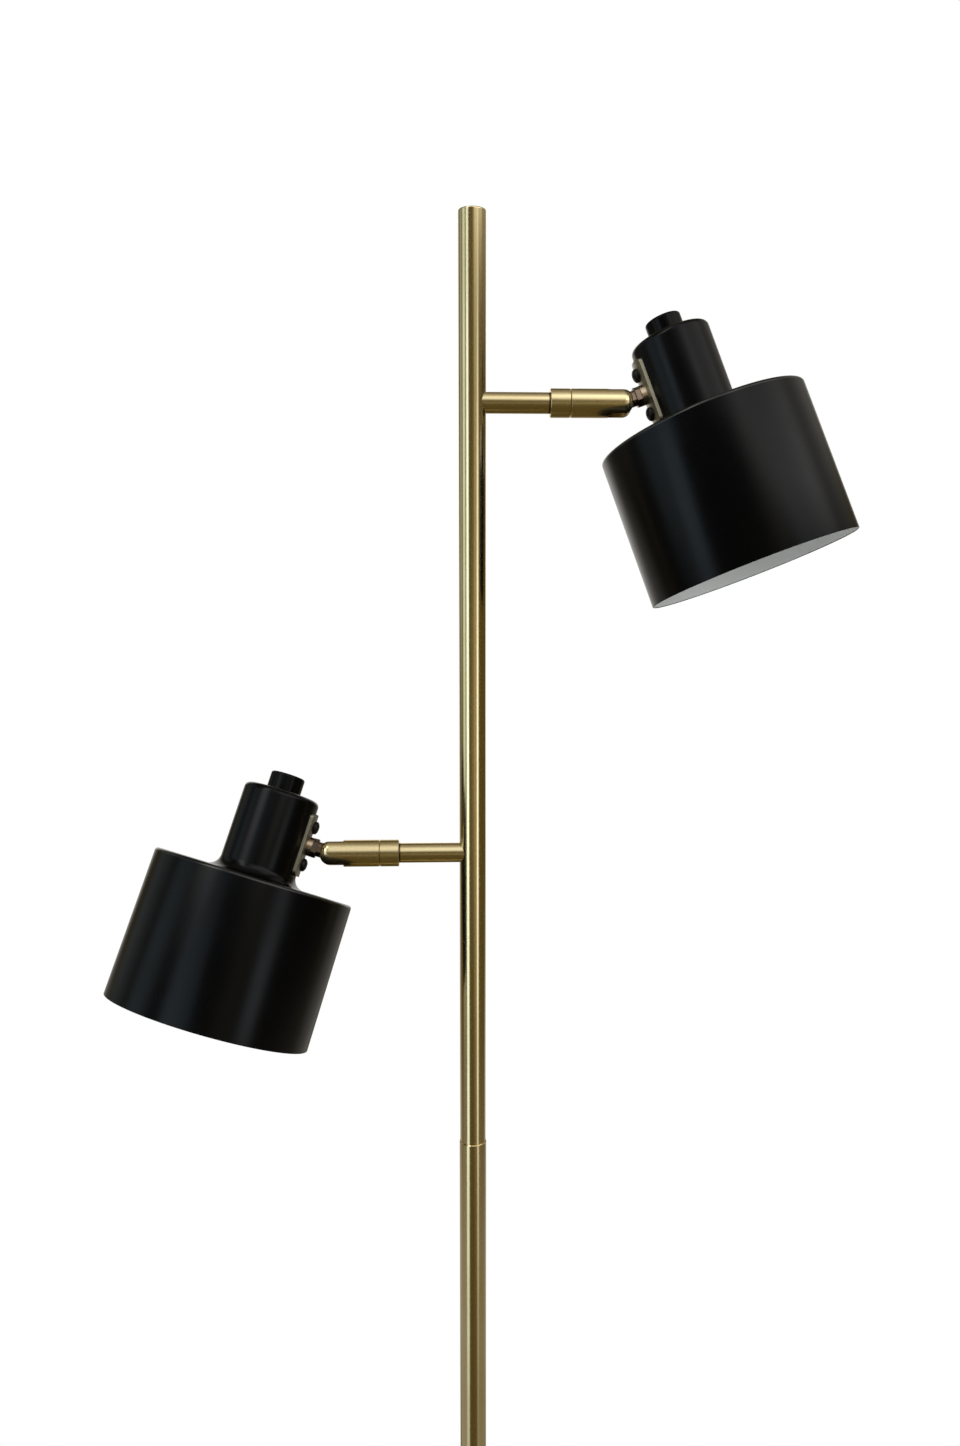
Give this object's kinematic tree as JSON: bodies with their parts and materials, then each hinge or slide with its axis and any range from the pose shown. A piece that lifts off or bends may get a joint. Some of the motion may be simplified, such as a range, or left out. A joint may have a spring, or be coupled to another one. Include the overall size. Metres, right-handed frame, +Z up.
{
  "type": "floor lamp",
  "caption": "Slim pole floor lamp on a round weighted base, with two cylindrical spotlight heads on short side arms, each on a swivel and tilt joint with a knob on its cup.",
  "frame": {"origin": "centre of the base's underside, on the floor, below the pole's axis", "axes": "+Z up along the pole, +X along the upper arm, -X along the lower arm, -Y towards the front, where both heads lean"},
  "size_m": [0.4506, 0.2518, 1.5],
  "materials": {
    "pole_brass": "polished, slightly aged brass plate",
    "base_brass": "polished, slightly aged brass plate",
    "antique_metal": "antique nickel-brown plate, satin",
    "stem_metal": "dark brown nickel plate, satin",
    "black_paint": "semi-gloss black paint",
    "black_screw": "black finish",
    "black_knob": "black, moulded",
    "steel": "zinc-plated steel",
    "cast_iron": "raw cast iron",
    "rubber": "black",
    "felt": "black felt",
    "white_plastic": "moulded, white",
    "dark_plastic": "moulded, dark grey",
    "wire": "plastic insulation",
    "contact_brass": "plain brass"
  },
  "bodies": {
    "stand": {"base_cover": "base_brass", "base_weight": "cast_iron", "base_pad": "felt", "base_stud": "steel", "base_washer": "steel", "base_nut": "steel", "cord_grommet": "rubber", "pole_lower": "pole_brass", "pole_middle": "pole_brass", "pole_upper": "pole_brass", "pole_sockets": "steel", "pole_studs": "steel", "pole_cap": "pole_brass", "pole_leads": "wire", "upper_arm": "pole_brass", "upper_wire_bush": "white_plastic", "upper_collar": "pole_brass", "upper_swivel_spindle": "steel", "upper_spring_washer": "steel", "upper_clip": "steel", "lower_arm": "pole_brass", "lower_wire_bush": "white_plastic", "lower_collar": "pole_brass", "lower_swivel_spindle": "steel", "lower_spring_washer": "steel", "lower_clip": "steel"},
    "upper_knuckle": {"upper_barrel": "pole_brass", "upper_tilt_pin": "pole_brass"},
    "upper_head": {"upper_stem": "stem_metal", "upper_saddle_washer": "antique_metal", "upper_bracket": "antique_metal", "upper_bracket_screws": "black_screw", "upper_nut_plate": "steel", "upper_shade": "black_paint", "upper_lampholder": "white_plastic", "upper_lamp_sleeve": "steel", "upper_contact": "contact_brass", "upper_switch": "dark_plastic", "upper_switch_nut": "steel", "upper_leads": "wire"},
    "upper_knob_body": {"upper_knob": "black_knob", "upper_switch_shaft": "steel"},
    "lower_knuckle": {"lower_barrel": "pole_brass", "lower_tilt_pin": "pole_brass"},
    "lower_head": {"lower_stem": "stem_metal", "lower_saddle_washer": "antique_metal", "lower_bracket": "antique_metal", "lower_bracket_screws": "black_screw", "lower_nut_plate": "steel", "lower_shade": "black_paint", "lower_lampholder": "white_plastic", "lower_lamp_sleeve": "steel", "lower_contact": "contact_brass", "lower_switch": "dark_plastic", "lower_switch_nut": "steel", "lower_leads": "wire"},
    "lower_knob_body": {"lower_knob": "black_knob", "lower_switch_shaft": "steel"}
  },
  "joints": [
    {"name": "upper_swivel", "type": "hinge", "parent": "stand", "child": "upper_knuckle", "pos_m": [0.088, 0, 1.3926], "axis": [1, 0, 0], "range_deg": [-145.9, 164.1]},
    {"name": "upper_tilt", "type": "hinge", "parent": "upper_knuckle", "child": "upper_head", "pos_m": [0.088, 0, 1.3926], "axis": [0, -0.9874, 0.1582], "range_deg": [-40, 70]},
    {"name": "upper_knob_turn", "type": "hinge", "parent": "upper_head", "child": "upper_knob_body", "pos_m": [0.11612, 0.00672, 1.43454], "axis": [-0.342, 0.1486, 0.9279], "continuous": true},
    {"name": "lower_swivel", "type": "hinge", "parent": "stand", "child": "lower_knuckle", "pos_m": [-0.088, 0, 1.1204], "axis": [-1, 0, 0], "range_deg": [-172.1, 137.9]},
    {"name": "lower_tilt", "type": "hinge", "parent": "lower_knuckle", "child": "lower_head", "pos_m": [-0.088, 0, 1.1204], "axis": [0, 0.9558, -0.294], "range_deg": [-37.5, 72.5]},
    {"name": "lower_knob_turn", "type": "hinge", "parent": "lower_head", "child": "lower_knob_body", "pos_m": [-0.11794, 0.01212, 1.15979], "axis": [0.3007, 0.2804, 0.9116], "continuous": true}
  ]
}
